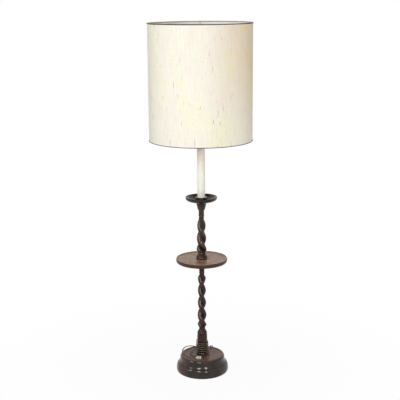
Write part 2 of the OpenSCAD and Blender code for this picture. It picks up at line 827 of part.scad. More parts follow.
fabric_out = shade_r - trim_t;
fabric_in = fabric_out - fabric_t;
ring_at = fabric_in - ring_r - seat_gap;
lip_t = 1;

module shade_drum() {
    color("#efe7d2") ring(fabric_out, fabric_in, z_hem + lip_t, shade_h - 2 * lip_t);
}

// A hoop of wire at height z
module hoop(z) {
    translate([0, 0, z]) rotate_extrude($fn = 180) translate([ring_at, 0]) circle(r = ring_r, $fn = 24);
}

module shade_spider() {
    z_ring = z_top - lip_t - ring_r;
    z_arm = z_hub + hub_t / 2;
    color("#9c8a5a") difference() {
        union() {
            hoop(z_ring);
            translate([0, 0, z_hub]) cylinder(r = hub_r, h = hub_t);
            for (a = [90, 210, 330]) rotate([0, 0, a]) translate([0, 0, z_arm]) {
                translate([hub_r - 2, 0, 0]) rotate([0, 90, 0])
                    cylinder(r = ring_r * 0.66, h = ring_at - arm_bend - hub_r + 2, $fn = 24);
                translate([ring_at - arm_bend, 0, arm_bend]) rotate([90, 0, 0]) rotate([0, 0, -90])
                    rotate_extrude(angle = 90) translate([arm_bend, 0]) circle(r = ring_r * 0.66, $fn = 24);
                translate([ring_at, 0, arm_bend])
                    cylinder(r = ring_r * 0.66, h = z_ring - z_arm - arm_bend, $fn = 24);
            }
        }
        translate([0, 0, z_hub - cut]) cylinder(r = stud_r + run_gap, h = hub_t + 2 * cut, $fn = 32);
    }
}

module shade_lower_ring() {
    color("#9c8a5a") hoop(z_hem + lip_t + ring_r);
}

// A trim band that laps over an edge of the shade; s is 1 at the top and -1 at the hem
module trim(z_edge, s) {
    color("#17140f") translate([0, 0, z_edge]) rotate_extrude($fn = 180) scale([1, s]) union() {
        translate([fabric_out, -trim_h]) square([trim_t, trim_h]);
        translate([fabric_in, -lip_t]) square([fabric_t + trim_t, lip_t]);
    }
}

module top_trim() {
    trim(z_top, 1);
}

module bottom_trim() {
    trim(z_hem, -1);
}

// ---------------------------------------------------------------- flex and plug

module cord_bushing() {
    bore = flex_r + run_gap;
    color("#2a2420") translate([0, spot_y, exit_z]) rotate([-90, 0, 0]) difference() {
        union() {
            translate([0, 0, -10]) cylinder(r = bushing_r - seat_gap, h = 11);
            cylinder(r = bushing_r + 2.4, h = flange_t);
            translate([0, 0, flange_t]) cylinder(r1 = bushing_r, r2 = flex_r + 1.1, h = bushing_l - flange_t);
        }
        translate([0, 0, -10 - cut]) cylinder(r = bore, h = bushing_l + 10 + 2 * cut, $fn = 48);
    }
}

module inner_flex() {
    color("#5a3a22") {
        translate([0, 0, z_pipe]) cylinder(r = inner_r, h = z_pipe_top - z_pipe, $fn = 32);
        translate([0, exit_bend, z_pipe]) rotate([0, -90, 0]) rotate([0, 0, -90])
            rotate_extrude(angle = -90) translate([exit_bend, 0]) circle(r = inner_r, $fn = 32);
        translate([0, exit_bend, exit_z]) rotate([-90, 0, 0])
            cylinder(r = inner_r, h = mouth_y - exit_bend, $fn = 32);
    }
}

// The wound part: it starts behind the post at the top and comes down turn by turn,
// at first tight on the post, then in a loose last turn that lies on the dished top.
wind_turns = 5.75;
loop_rings = 24;
wind_r = urn_r + flex_r + 0.5;
wind_floor = z_dish + flex_r + 0.3;
wind_top = z_dish + wind_low + wind_pitch * 4.5;
loose_out = 24;

// A hump of height 1 about turn c, and 0 beyond w turns from it
function hump(t, c, w) = let (x = (t - c) / w) abs(x) < 1 ? pow(1 - x * x, 2) : 0;
function wind_radius(t) = wind_r + 5.6 * smooth((t - 4.4) / 0.5)
    + loose_out * hump(t, 5.27, 0.29) + 8 * hump(t, 4.26, 0.26) + 3.5 * hump(t, 3.24, 0.26);
function wind_height(t) =
    let (tight = wind_top - wind_pitch * t - 5 * smooth(t / 0.6) + 5,
         low = smooth((t - 4.55) / 0.85))
    tight * (1 - low) + wind_floor * low - 3 * hump(t, 4.26, 0.26);
function wind_point(t) = let (a = 90 + 360 * t)
    [wind_radius(t) * cos(a), wind_radius(t) * sin(a), wind_height(t)];

wind_body = [for (i = [0 : wind_turns * loop_rings]) wind_point(i / loop_rings)];
wind_start = wind_body[0] + unit(wind_body[0] - wind_body[1]) * flex_d;
wind_last = wind_body[len(wind_body) - 1];
wind_end = wind_last + unit(wind_last - wind_body[len(wind_body) - 2]) * flex_d;
wind_path = concat([wind_start], wind_body, [wind_end]);

// From the bushing down to the floor, round in a loose curve, up against the side of the base,
// over its rim and its tail, and up against the turns to the top one
lead_route = [
    [0, 141, 21], [1, 153, 19.5], [3, 165, 15], [6, 177, 8.5], [10, 189, 4], [17, 201, 3],
    [26, 211, 3], [38, 218, 3], [51, 220, 3], [64, 217, 3], [75, 209, 3], [82, 198, 3],
    [85, 185, 3], [84, 172, 3], [80, 159, 3], [74.5, 146.5, 3], [69, 134.5, 3], [64, 124.5, 5],
    [60, 116, 10.5], [57.5, 110.5, 19], [56.2, 107.8, 30], [54.4, 104.6, 41.5], [51.5, 99.5, 52.5],
    [49.5, 96, 63], [48.5, 93.8, 72], [46.3, 89.2, 80.6], [42.3, 81.4, 85.3], [38, 72.7, 87],
    [34.5, 63.5, 85], [32, 54, 84], [29, 45, 87.5], [25.5, 38, 94], [25.5, 31, 103],
    [26.5, 26.5, 112], [25, 22, 122], [23.5, 23.5, 133.5], [18.5, 26.5, 140], [12, 27, 144.5]
];
// From the last turn round behind the post, along the rim and forward to the plug
tail_route = [
    [32, 17, 81], [30, 29, 81], [25, 41, 81], [17, 51, 81], [7, 59, 81], [-5, 66, 81],
    [-17, 72, 81.5], [-29, 77, 82.5], [-42, 79, 84], [-54, 77, 86], [-66, 70, 88],
    [-77, 60, 89], [-85, 47, 88], [-90, 33, 86], [-92, 19, 84.5], [-92, 5, 83.5],
    [-89, -9, 83.5], [-83, -21, 83], [-75, -32, 81.5], [-66, -42, 81], [-57, -51, 81],
    [-48, -58, 82], [-39, -63, 84]
];
plug_at = [-31, -63.5];

lead_path = concat([[0, mouth_y, exit_z]], lead_route, [wind_start]);
tail_path = concat([wind_end], tail_route, [[plug_at[0], plug_at[1], z_dish + plug_h / 2]]);

wind_first = wind_body[1] - wind_body[0];
wind_final = wind_last - wind_body[len(wind_body) - 2];

module cord_lead() {
    color("#5a3a22") tube(lead_path, [0, 1, 0], wind_first, flex_r, 8);
}

module cord_winding() {
    gaps = [for (i = [0 : len(wind_body) - 1]) for (j = [i + 8 : 1 : len(wind_body) - 1])
        norm(wind_body[i] - wind_body[j])];
    echo(least_gap_of_winding = min(gaps) - flex_d);
    color("#5a3a22") tube(wind_path, wind_first, wind_final, flex_r, 6);
}

module cord_tail() {
    color("#5a3a22") tube(tail_path, wind_final, [1, 0, 0], flex_r, 8);
}

// A rectangle with round corners
module rounded(l, w, r) {
    union() {
        translate([0, r]) square([l, w - 2 * r]);
        translate([r, 0]) square([l - 2 * r, w]);
        for (x = [r, l - r]) for (y = [r, w - r]) translate([x, y]) circle(r = r);
    }
}

module plug_body() {
    corner = 4;
    color("#d9d4c6") translate([plug_at[0], plug_at[1] - plug_w / 2, z_dish]) intersection() {
        linear_extrude(plug_h) rounded(plug_l, plug_w, corner);
        translate([0, plug_w + cut, 0]) rotate([90, 0, 0])
            linear_extrude(plug_w + 2 * cut) rounded(plug_l, plug_h, 2.5);
    }
}

module plug_blades() {
    blade_gap = 12.7;
    blade_h = 6.3;
    blade_t = 1.5;
    color("#b08d45") for (s = [-1, 1])
        translate([plug_at[0] + plug_l, plug_at[1] + s * blade_gap / 2 - blade_t / 2,
                   z_dish + (plug_h - blade_h) / 2])
            cube([blade_l, blade_t, blade_h]);
}

felt_pad();
ballast_disc();
base_foot();
base_cap();
base_screws();
pipe_washer();
lock_nut();
lamp_pipe();
lower_column();
tray();
tray_collar();
upper_column();
drip_pan();
candle_cup();
candle_sleeve();
candle_cap();
harp_saddle();
harp();
ferrule_left();
ferrule_right();
socket_cap();
socket_shell();
socket_core();
screw_shell();
switch_knob();
bulb_base();
bulb_glass();
shade_drum();
shade_spider();
shade_lower_ring();
top_trim();
bottom_trim();
finial();
cord_bushing();
inner_flex();
cord_lead();
cord_winding();
cord_tail();
plug_body();
plug_blades();
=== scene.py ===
"""Dresses the candlestick floor lamp: camera, flex, shade, turned wood, finishes and light."""

import json
import math

import bpy
import numpy as np
from mathutils import Matrix, Vector


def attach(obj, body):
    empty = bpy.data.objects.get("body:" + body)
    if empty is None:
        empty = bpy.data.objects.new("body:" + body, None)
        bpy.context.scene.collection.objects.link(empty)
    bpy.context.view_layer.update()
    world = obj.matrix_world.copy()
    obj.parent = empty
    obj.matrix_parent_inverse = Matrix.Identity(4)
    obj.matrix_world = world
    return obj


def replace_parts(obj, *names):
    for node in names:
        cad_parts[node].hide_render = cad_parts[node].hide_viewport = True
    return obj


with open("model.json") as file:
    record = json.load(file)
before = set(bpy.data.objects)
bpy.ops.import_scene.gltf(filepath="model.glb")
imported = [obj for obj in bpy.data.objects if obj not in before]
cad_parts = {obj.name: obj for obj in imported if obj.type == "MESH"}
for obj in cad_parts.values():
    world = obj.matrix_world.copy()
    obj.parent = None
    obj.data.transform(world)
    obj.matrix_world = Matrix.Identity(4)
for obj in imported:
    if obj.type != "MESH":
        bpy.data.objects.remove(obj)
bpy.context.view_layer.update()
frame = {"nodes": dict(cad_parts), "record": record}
scene = bpy.context.scene

MM = 0.001  # the sizes below are in millimetres, and Blender's are in metres
ROOT = "stand"
SHADE = "shade"

# Heights of the stack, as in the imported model
Z_DISH, Z_TRAY, Z_COLLAR, Z_PAN = 78.0, 521.0, 559.0, 790.0
Z_HEM, Z_TOP = 1079.0, 1587.0


# ---------------------------------------------------------------- camera

CAMERA_AT = (-0.0057, -3.978, 1.709)  # metres
CAMERA_DOWN, CAMERA_ROLL = 12.75, -0.42  # degrees
LENS, FILM_WIDTH = 82.24, 36.0


def make_camera():
    data = bpy.data.cameras.new("camera")
    data.lens = LENS
    data.sensor_width = FILM_WIDTH
    cam = bpy.data.objects.new("camera", data)
    scene.collection.objects.link(cam)
    cam.matrix_world = (
        Matrix.Translation(CAMERA_AT)
        @ Matrix.Rotation(math.pi / 2 - math.radians(CAMERA_DOWN), 4, "X")
        @ Matrix.Rotation(math.radians(CAMERA_ROLL), 4, "Z")
    )
    scene.camera = cam


# ---------------------------------------------------------------- shaders

class Nodes:
    """A node tree, with short ways to add to it."""

    def __init__(self, tree):
        self.tree = tree

    def node(self, kind, **props):
        n = self.tree.nodes.new(kind)
        for key, value in props.items():
            setattr(n, key, value)
        return n

    def put(self, socket, value):
        """Links an output to a socket, or sets a constant on it."""
        if isinstance(value, bpy.types.NodeSocket):
            self.tree.links.new(value, socket)
        else:
            socket.default_value = value

    def math(self, op, a, b, clamp=False):
        n = self.node("ShaderNodeMath", operation=op, use_clamp=clamp)
        self.put(n.inputs[0], a)
        self.put(n.inputs[1], b)
        return n.outputs[0]

    def seen(self):
        """1 for what the camera sees, straight, in a shine or through glass, and 0 for light."""
        path = self.node("ShaderNodeLightPath").outputs
        straight_or_shine = self.math("MAXIMUM", path["Is Camera Ray"], path["Is Glossy Ray"])
        return self.math("MAXIMUM", straight_or_shine, path["Is Transmission Ray"])

    def finish(self, kind, share, first, second):
        """Sends a mix of two shaders to an output node of that kind."""
        mix = self.node("ShaderNodeMixShader")
        for socket, value in zip(mix.inputs, (share, first, second)):
            self.put(socket, value)
        self.put(self.node(kind).inputs[0], mix.outputs[0])


class Shader(Nodes):
    """A Principled material that is built up from procedural textures."""

    def __init__(self, name, **sockets):
        self.material = bpy.data.materials.new(name)
        self.material.use_nodes = True
        super().__init__(self.material.node_tree)
        self.bsdf = self.tree.nodes["Principled BSDF"]
        self.place = self.node("ShaderNodeTexCoord").outputs["Object"]
        self.set(**sockets)

    def set(self, **sockets):
        """Sets or links the shader's own sockets, with _ for a space in a name."""
        for socket, value in sockets.items():
            self.put(self.bsdf.inputs[socket.replace("_", " ")], value)

    def stretched(self, scale, shift=(0, 0, 0)):
        if not hasattr(scale, "__len__"):
            scale = (scale, scale, scale)
        n = self.node("ShaderNodeMapping")
        self.put(n.inputs["Vector"], self.place)
        n.inputs["Scale"].default_value = scale
        n.inputs["Location"].default_value = shift
        return n.outputs["Vector"]

    def noise(self, scale, detail=3.0, rough=0.5, warp=0.0, shift=(0, 0, 0)):
        """Noise with that many features a metre, or that many along x, y and z."""
        n = self.node("ShaderNodeTexNoise")
        self.put(n.inputs["Vector"], self.stretched(scale, shift))
        n.inputs["Scale"].default_value = 1.0
        n.inputs["Detail"].default_value = detail
        n.inputs["Roughness"].default_value = rough
        n.inputs["Distortion"].default_value = warp
        return n.outputs["Fac"]

    def specks(self, scale):
        """Distance to the nearest of scattered points."""
        n = self.node("ShaderNodeTexVoronoi")
        self.put(n.inputs["Vector"], self.stretched(scale))
        n.inputs["Scale"].default_value = 1.0
        return n.outputs["Distance"]

    def ramp(self, fac, *stops):
        """Grey or colour stops (position, value) along a factor."""
        n = self.node("ShaderNodeValToRGB")
        self.put(n.inputs["Fac"], fac)
        elements = n.color_ramp.elements
        while len(elements) < len(stops):
            elements.new(0.5)
        for element, (position, value) in zip(elements, stops):
            element.position = position
            element.color = (*value, 1) if hasattr(value, "__len__") else (value,) * 3 + (1,)
        return n.outputs["Color"]

    def mix(self, fac, a, b, blend="MIX"):
        n = self.node("ShaderNodeMix", data_type="RGBA", blend_type=blend)
        self.put(n.inputs["Factor"], fac)
        for socket, value in ((n.inputs[6], a), (n.inputs[7], b)):  # the colour inputs A and B
            self.put(socket, (*value, 1) if isinstance(value, tuple) else value)
        return n.outputs[2]  # the colour output

    def split(self, vector):
        n = self.node("ShaderNodeSeparateXYZ")
        self.put(n.inputs[0], vector)
        return n.outputs

    def attribute(self, name):
        return self.node("ShaderNodeAttribute", attribute_name=name).outputs["Fac"]

    def bump(self, height, depth, strength):
        """Adds a bump of that depth, in metres, on top of any before it."""
        n = self.node("ShaderNodeBump")
        n.inputs["Strength"].default_value = strength
        n.inputs["Distance"].default_value = depth
        self.put(n.inputs["Height"], height)
        before = self.bsdf.inputs["Normal"]
        if before.is_linked:
            self.put(n.inputs["Normal"], before.links[0].from_socket)
        self.put(before, n.outputs["Normal"])


# ---------------------------------------------------------------- materials

GRAIN_LONG, GRAIN_CROSS, PORE_FINER = 5.0, 85.0, 9  # features a metre, and pores to a grain
# The colour of the painted shade in the grooves
GROOVE_SHADE = (0.005, 0.0035, 0.0025)
CAP_FLANK_Z, CAP_TOP_Z = 0.055, 0.07  # metres; below the first a level face is not painted lighter


def wood(name, along, deep, mid, warm, warm_at, rough, ior=1.34, edge=None, top=None, worn_and_lit=None):
    """Stained, varnished wood with its grain along x or z.

    The stain runs from deep to mid, and the warm wood shows through it on the high places
    and, as strongly as warm_at, in patches. edge is the dark colour of what doesn't face up,
    where what does keeps the lighter colours as painted reflection; top is the colour of an
    upper face, painted lighter as rubbed wear and as painted sheen; and the last colour is
    painted light, on the side the main lights fall on.
    """
    s = Shader(name, IOR=ior)
    along_x, along_z = ((GRAIN_LONG, GRAIN_CROSS, GRAIN_CROSS),
                        (GRAIN_CROSS, GRAIN_CROSS, GRAIN_LONG))
    grain_scale = along_x if along == "x" else along_z
    grain = s.noise(grain_scale, 5, 0.55, 0.6)
    pores = s.noise(tuple(v * PORE_FINER for v in grain_scale), 2, 0.5)
    cloud = s.noise(14, 3, 0.55, 0.2)
    body = s.mix(s.ramp(grain, (0.36, 0.0), (0.66, 1.0)), deep, mid)
    # Wear shows the warm wood under the stain on the high places
    high = s.math("MULTIPLY", s.attribute("high"), s.ramp(cloud, (0.42, 0.15), (0.6, 1.0)))
    blotch = s.noise(17, 4, 0.6, 0.4, (3, 5, 1))
    patch = s.math("MULTIPLY", s.ramp(blotch, (0.48, 0.0), (0.66, 1.0)), warm_at)
    color = s.mix(s.math("ADD", high, patch, clamp=True), body, warm)
    color = s.mix(1.0, color, s.ramp(pores, (0.30, 0.55), (0.42, 1.0)), "MULTIPLY")
    place = s.split(s.place)
    up = s.split(s.node("ShaderNodeNewGeometry").outputs["Normal"])["Z"]
    smudge = s.ramp(s.noise(45, 4, 0.6, 0.3, (7, 2, 4)),
                    (0.35, rough * 0.75), (0.7, rough * 1.5))
    if worn_and_lit:
        # Painted light: the side the main lights fall on, -X, is painted lighter and warmer in
        # patches
        side = s.ramp(s.math("MULTIPLY", place["X"], -5.0), (0.28, 0.0), (0.48, 0.75))
        lit_patches = s.math("MULTIPLY", side, s.ramp(cloud, (0.36, 0.25), (0.56, 1.0)))
        color = s.mix(lit_patches, color, worn_and_lit)
    if edge:
        # Painted reflection: what faces up keeps the light colours, for the sheen on a level face,
        # and the rest gets the dark edge colour
        color = s.mix(s.ramp(up, (0.30, 0.0), (0.60, 1.0)), edge, color)
    if top:
        # Painted sheen and rubbed wear: the upper face is painted lighter, for the light on a
        # level face and where things stood on it
        level = s.math("MULTIPLY", s.ramp(up, (0.72, 0.0), (0.95, 1.0)),
                       s.ramp(place["Z"], (CAP_FLANK_Z, 0.0), (CAP_TOP_Z, 1.0)))
        rubbed = s.noise(24, 4, 0.6, 0.5, (6, 1, 2))
        rubbed_and_sheen = s.math("MULTIPLY", level, s.ramp(rubbed, (0.3, 0.35), (0.6, 1.0)))
        color = s.mix(rubbed_and_sheen, color, top)
        smudge = s.mix(s.math("MULTIPLY", level, 0.8), smudge, (0.52, 0.52, 0.52))
    # Painted shade: what the turning left low, the grooves between the strands and the bore, is
    # painted darker
    color = s.mix(s.math("MULTIPLY", s.attribute("low"), 0.8), color, GROOVE_SHADE)
    s.set(Base_Color=color, Roughness=smudge)
    s.bump(pores, 0.00010, 0.15)
    s.bump(s.noise(70, 2, 0.5), 0.0003, 0.2)
    s.bump(s.noise(9, 2), 0.0012, 0.3)
    scratch = s.ramp(s.noise((700, 22, 700), 2, 0.4, 1.5, (1, 9, 3)), (0.66, 0.0), (0.72, 1.0))
    s.bump(scratch, 0.00008, 0.15)
    return s


WOODS = {
    "dark_wood": dict(
        name="wood_turned", along="z", deep=(0.006, 0.0042, 0.0036), mid=(0.016, 0.0085, 0.0068),
        warm=(0.10, 0.015, 0.013), warm_at=0.14, rough=0.11),
    "upper_wood": dict(
        name="wood_upper", along="z", deep=(0.0075, 0.005, 0.004), mid=(0.024, 0.014, 0.0095),
        warm=(0.15, 0.064, 0.029), warm_at=0.36, rough=0.10),
    # Its top colour is painted sheen with rubbed wear, and its lit-side colour is painted light
    "base_wood": dict(
        name="wood_base", along="x", deep=(0.007, 0.005, 0.004), mid=(0.024, 0.015, 0.011),
        warm=(0.070, 0.028, 0.017), warm_at=0.35, rough=0.13, ior=1.42,
        top=(0.17, 0.082, 0.054), worn_and_lit=(0.10, 0.036, 0.022)),
    # Painted reflection: the light deep and mid colours stand in for the sheen on the tray's level
    # top
    "tray_wood": dict(
        name="wood_tray", along="x", deep=(0.24, 0.135, 0.078), mid=(0.42, 0.255, 0.165),
        warm=(0.40, 0.19, 0.105), warm_at=0.5, rough=0.34, ior=1.36,
        edge=(0.045, 0.022, 0.014)),
}


def slub_silk():
    """Raw silk, with an upright warp, a finer weft, and slubs, dark dashes and knots."""
    s = Shader("silk_slub", Roughness=0.85, Sheen_Weight=0.12, Sheen_Roughness=0.4)
    threads = s.noise((620, 620, 15), 3, 0.6)
    weft = s.noise((30, 30, 900), 3, 0.6)
    slub = s.ramp(s.noise((330, 330, 13), 2, 0.45, 0.2), (0.69, 0.0), (0.75, 1.0))
    dash = s.ramp(s.noise((300, 300, 18), 1, 0.4, 0.1, (3, 8, 1)), (0.735, 0.0), (0.775, 1.0))
    knots = s.ramp(s.noise((150, 150, 500), 2, 0.5, 0.2, (2, 3, 5)), (0.67, 0.0), (0.74, 1.0))
    tint = s.noise((12, 12, 7), 3, 0.6, 0.4, (5, 1, 2))
    cloth = s.ramp(tint, (0.36, (0.92, 0.905, 0.69)), (0.5, (0.91, 0.90, 0.80)),
                   (0.64, (0.92, 0.86, 0.79)))
    cloth = s.mix(s.ramp(threads, (0.36, 0.4), (0.60, 0.0)), cloth, (0.76, 0.69, 0.55))
    cloth = s.mix(s.ramp(weft, (0.50, 0.0), (0.72, 0.35)), cloth, (0.74, 0.66, 0.50))
    # Painted shade: the upper part of the +X side, away from the main lights, is painted darker
    # and warmer
    place = s.split(s.place)
    shaded_side = s.ramp(s.math("MULTIPLY", place["X"], 4.0), (0.1, 0.0), (0.8, 1.0))
    shaded_top = s.ramp(s.math("SUBTRACT", place["Z"], 1.0), (0.12, 0.0), (0.42, 1.0))
    cloth = s.mix(s.math("MULTIPLY", shaded_side, shaded_top), cloth,
                  s.mix(1.0, cloth, (0.97, 0.86, 0.76), "MULTIPLY"))
    for marks, share, tone in ((slub, 0.4, (0.36, 0.30, 0.20)),
                               (dash, 0.75, (0.16, 0.15, 0.12)),
                               (knots, 0.3, (0.45, 0.35, 0.20))):
        cloth = s.mix(s.math("MULTIPLY", marks, share), cloth, tone)
    s.set(Base_Color=cloth)
    s.bump(threads, 0.0005, 0.5)
    s.bump(weft, 0.0003, 0.4)
    s.bump(slub, 0.0006, 0.7)
    return s


def candle_cream():
    s = Shader("candle_sleeve", IOR=1.46, Subsurface_Weight=0.12, Subsurface_Scale=0.004)
    cloud = s.noise((40, 40, 14), 3, 0.5)
    grime = s.ramp(s.noise((90, 90, 30), 4, 0.65, 0.5, (4, 4, 4)), (0.60, 0.0), (0.78, 1.0))
    color = s.ramp(cloud, (0.3, (0.88, 0.86, 0.76)), (0.7, (0.93, 0.915, 0.84)))
    # Painted shadow of the shade: the upper end is painted darker and browner
    warm = s.ramp(s.split(s.place)["Z"], (0.93, 0.0), (1.0, 0.7))
    color = s.mix(warm, color, (0.74, 0.64, 0.54))
    s.set(Base_Color=s.mix(s.math("MULTIPLY", grime, 0.35), color, (0.45, 0.36, 0.26)),
          Roughness=s.ramp(cloud, (0.3, 0.32), (0.7, 0.48)))
    s.bump(s.noise((60, 60, 9), 2), 0.0006, 0.35)
    return s


def zinc_steel():
    s = Shader("zinc_steel", Metallic=1.0)
    spangle = s.specks(260)
    s.set(Base_Color=s.ramp(spangle, (0.0, (0.40, 0.41, 0.42)), (0.8, (0.60, 0.60, 0.58))),
          Roughness=s.ramp(s.noise(90, 3), (0.3, 0.28), (0.7, 0.48)))
    s.bump(s.noise((900, 900, 2500), 2), 0.00005, 0.5)
    return s


def cast_iron():
    s = Shader("cast_iron", Metallic=0.6)
    sand = s.noise(700, 4, 0.7)
    rust = s.ramp(s.noise(60, 4, 0.6), (0.55, 0.0), (0.72, 1.0))
    s.set(Base_Color=s.mix(rust, (0.05, 0.05, 0.052), (0.16, 0.07, 0.035)),
          Roughness=s.ramp(sand, (0.3, 0.6), (0.7, 0.85)))
    s.bump(sand, 0.0005, 0.7)
    return s


def mottled(name, mottle, color, bump, rough=None, grit=None, dirt=None, **sockets):
    """A finish whose colour, and roughness where it has stops, follow one noise.

    grit is the noise of the bump where that is another one. dirt is a noise, where along it
    the dirt starts and is full, how strong it is, and its colour.
    """
    s = Shader(name, **sockets)
    fac = s.noise(*mottle)
    paint = s.ramp(fac, *color)
    if dirt:
        noise, start, full, share, tone = dirt
        grime = s.ramp(s.noise(*noise), (start, 0.0), (full, 1.0))
        paint = s.mix(s.math("MULTIPLY", grime, share), paint, tone)
    s.set(Base_Color=paint)
    if rough:
        s.set(Roughness=s.ramp(fac, *rough))
    s.bump(s.noise(*grit) if grit else fac, *bump)
    return s


MOTTLED = {
    "lining": dict(
        name="shade_lining", Roughness=0.55, mottle=(30, 3),
        color=((0.3, (0.94, 0.93, 0.89)), (0.7, (0.97, 0.96, 0.93))),
        grit=((300, 300, 20), 2), bump=(0.0002, 0.4)),
    "trim_cloth": dict(
        name="trim_tape", Roughness=0.75, mottle=((1600, 1600, 500), 2, 0.5),
        color=((0.35, (0.006, 0.006, 0.005)), (0.7, (0.026, 0.025, 0.018))),
        bump=(0.0003, 0.6)),
    "felt": dict(
        name="wool_felt", Roughness=0.95, Sheen_Weight=0.4, mottle=(900, 4, 0.7),
        color=((0.3, (0.02, 0.035, 0.022)), (0.7, (0.05, 0.075, 0.05))),
        bump=(0.0006, 0.8)),
    "brass": dict(
        name="brass_dulled", Metallic=1.0, mottle=(120, 4, 0.6, 0.3),
        color=((0.35, (0.32, 0.20, 0.07)), (0.6, (0.66, 0.47, 0.18))),
        rough=((0.3, 0.42), (0.65, 0.20)),
        grit=((500, 500, 3000), 2), bump=(0.00004, 0.5)),
    "blades": dict(
        name="blade_brass", Metallic=1.0, mottle=((900, 60, 60), 4, 0.6),
        color=((0.35, (0.10, 0.07, 0.035)), (0.65, (0.26, 0.19, 0.09))),
        rough=((0.3, 0.5), (0.7, 0.32)), bump=(0.00004, 0.5)),
    "frame_wire": dict(
        name="brassed_wire", Metallic=1.0, mottle=(200, 4, 0.6),
        color=((0.35, (0.25, 0.17, 0.07)), (0.65, (0.52, 0.40, 0.19))),
        rough=((0.3, 0.5), (0.7, 0.28)), bump=(0.0001, 0.4)),
    "black_resin": dict(
        name="black_resin", IOR=1.55, mottle=(80, 3, 0.6, 0.6),
        color=((0.3, (0.012, 0.010, 0.009)), (0.7, (0.026, 0.021, 0.018))),
        rough=((0.3, 0.22), (0.7, 0.40)), grit=(900, 2), bump=(0.00004, 0.5)),
    "bulb_metal": dict(
        name="bulb_cap", Metallic=1.0, mottle=((200, 200, 900), 3, 0.6),
        color=((0.3, (0.48, 0.47, 0.44)), (0.7, (0.72, 0.71, 0.68))),
        rough=((0.3, 0.35), (0.7, 0.2)), bump=(0.00005, 0.5)),
    "bulb_glass": dict(
        name="bulb_frosted", IOR=1.45, Transmission_Weight=0.35, Subsurface_Weight=0.2,
        Subsurface_Scale=0.01, mottle=(300, 3),
        color=((0.3, (0.86, 0.85, 0.80)), (0.7, (0.93, 0.92, 0.88))),
        rough=((0.3, 0.25), (0.7, 0.36)), bump=(0.00003, 0.4)),
    "black_rubber": dict(
        name="bushing_rubber", Roughness=0.6, mottle=(260, 4, 0.6),
        color=((0.3, (0.016, 0.014, 0.012)), (0.7, (0.05, 0.044, 0.037))),
        grit=(1500, 2), bump=(0.00006, 0.5)),
    "brown_flex": dict(
        name="flex_sheath", IOR=1.5, mottle=(130, 3, 0.6, 0.2),
        color=((0.3, (0.030, 0.018, 0.012)), (0.7, (0.085, 0.050, 0.032))),
        rough=((0.3, 0.28), (0.7, 0.45)),
        dirt=((420, 3, 0.6), 0.52, 0.72, 0.4, (0.22, 0.18, 0.14)),
        grit=(900, 2), bump=(0.00005, 0.5)),
    "ivory_plastic": dict(
        name="plug_ivory", IOR=1.5, mottle=(90, 4, 0.6, 0.3),
        color=((0.3, (0.52, 0.48, 0.43)), (0.7, (0.63, 0.595, 0.545))),
        rough=((0.3, 0.35), (0.7, 0.5)),
        dirt=((240, 4, 0.7, 0.2, (2, 2, 2)), 0.56, 0.74, 0.35, (0.35, 0.28, 0.20)),
        grit=(700, 2), bump=(0.00006, 0.5)),
}


def make_materials():
    shaders = {slot: wood(**given) for slot, given in WOODS.items()}
    shaders.update((slot, mottled(**given)) for slot, given in MOTTLED.items())
    shaders["shade_cloth"] = slub_silk()
    shaders["candle_cream"] = candle_cream()
    shaders["zinc_steel"] = zinc_steel()
    shaders["iron"] = cast_iron()
    return {slot: shader.material for slot, shader in shaders.items()}


# ---------------------------------------------------------------- mesh building

def add_mesh(name, verts, faces, material, body, sharp, attributes=None):
    """A smooth-shaded mesh piece, with an edge where faces turn by more than sharp degrees.

    verts are in millimetres. material is one material or a list, and attributes are values
    for each vertex.
    """
    data = bpy.data.meshes.new(name)
    data.from_pydata([tuple(float(c) * MM for c in v) for v in verts], [], faces)
    for key, values in (attributes or {}).items():
        layer = data.attributes.new(key, "FLOAT", "POINT")
        layer.data.foreach_set("value", np.asarray(values, dtype=np.float32).ravel())
    data.polygons.foreach_set("use_smooth", [True] * len(data.polygons))
    data.set_sharp_from_angle(angle=math.radians(sharp))
    data.validate()
    data.update()
    piece = bpy.data.objects.new(name, data)
    scene.collection.objects.link(piece)
    for one in material if isinstance(material, list) else [material]:
        data.materials.append(one)
    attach(piece, body)
    return piece


def ring(points, radius, z):
    """A level circle of points round the axis."""
    turns = (2 * math.pi * j / points for j in range(points))
    return [(radius * math.cos(a), radius * math.sin(a), z) for a in turns]


def grid_faces(rows, across, wrap_rows=False):
    """Quads between rows of points, each row a closed loop."""
    faces = []
    for i in range(rows if wrap_rows else rows - 1):
        lo, hi = i * across, ((i + 1) % rows) * across
        for j in range(across):
            k = (j + 1) % across
            faces.append((lo + j, lo + k, hi + k, hi + j))
    return faces


def tube_faces(rows, across):
    """The same, with the first and the last row filled."""
    first = tuple(range(across - 1, -1, -1))
    last = tuple((rows - 1) * across + j for j in range(across))
    return grid_faces(rows, across) + [first, last]


def lathe(name, outline, material, body, points=160, sharp=38):
    """Turns a closed outline of (radius, height) points, all off the axis."""
    verts = [v for r, z in outline for v in ring(points, r, z)]
    faces = grid_faces(len(outline), points, wrap_rows=True)
    return add_mesh(name, verts, faces, material, body, sharp)


# Pieces of an outline from a to b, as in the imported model; each point is (radius, height)

def sweep_s(a, b, n=20):
    """An S that is upright at both ends."""
    return [(a[0] + (b[0] - a[0]) * (1 - math.cos(math.pi * i / n)) / 2,
             a[1] + (b[1] - a[1]) * i / n) for i in range(n + 1)]


def swelling(a, b, out, n=14):
    """A bow that stands out by that much in the middle."""
    return [(a[0] + (b[0] - a[0]) * i / n + out * math.sin(math.pi * i / n),
             a[1] + (b[1] - a[1]) * i / n) for i in range(n + 1)]


def quarter_out(a, b, n):
    """A quarter of an ellipse, upright at a and level at b."""
    return [(a[0] + (b[0] - a[0]) * math.sin(math.pi / 2 * i / n),
             b[1] + (a[1] - b[1]) * math.cos(math.pi / 2 * i / n)) for i in range(n + 1)]


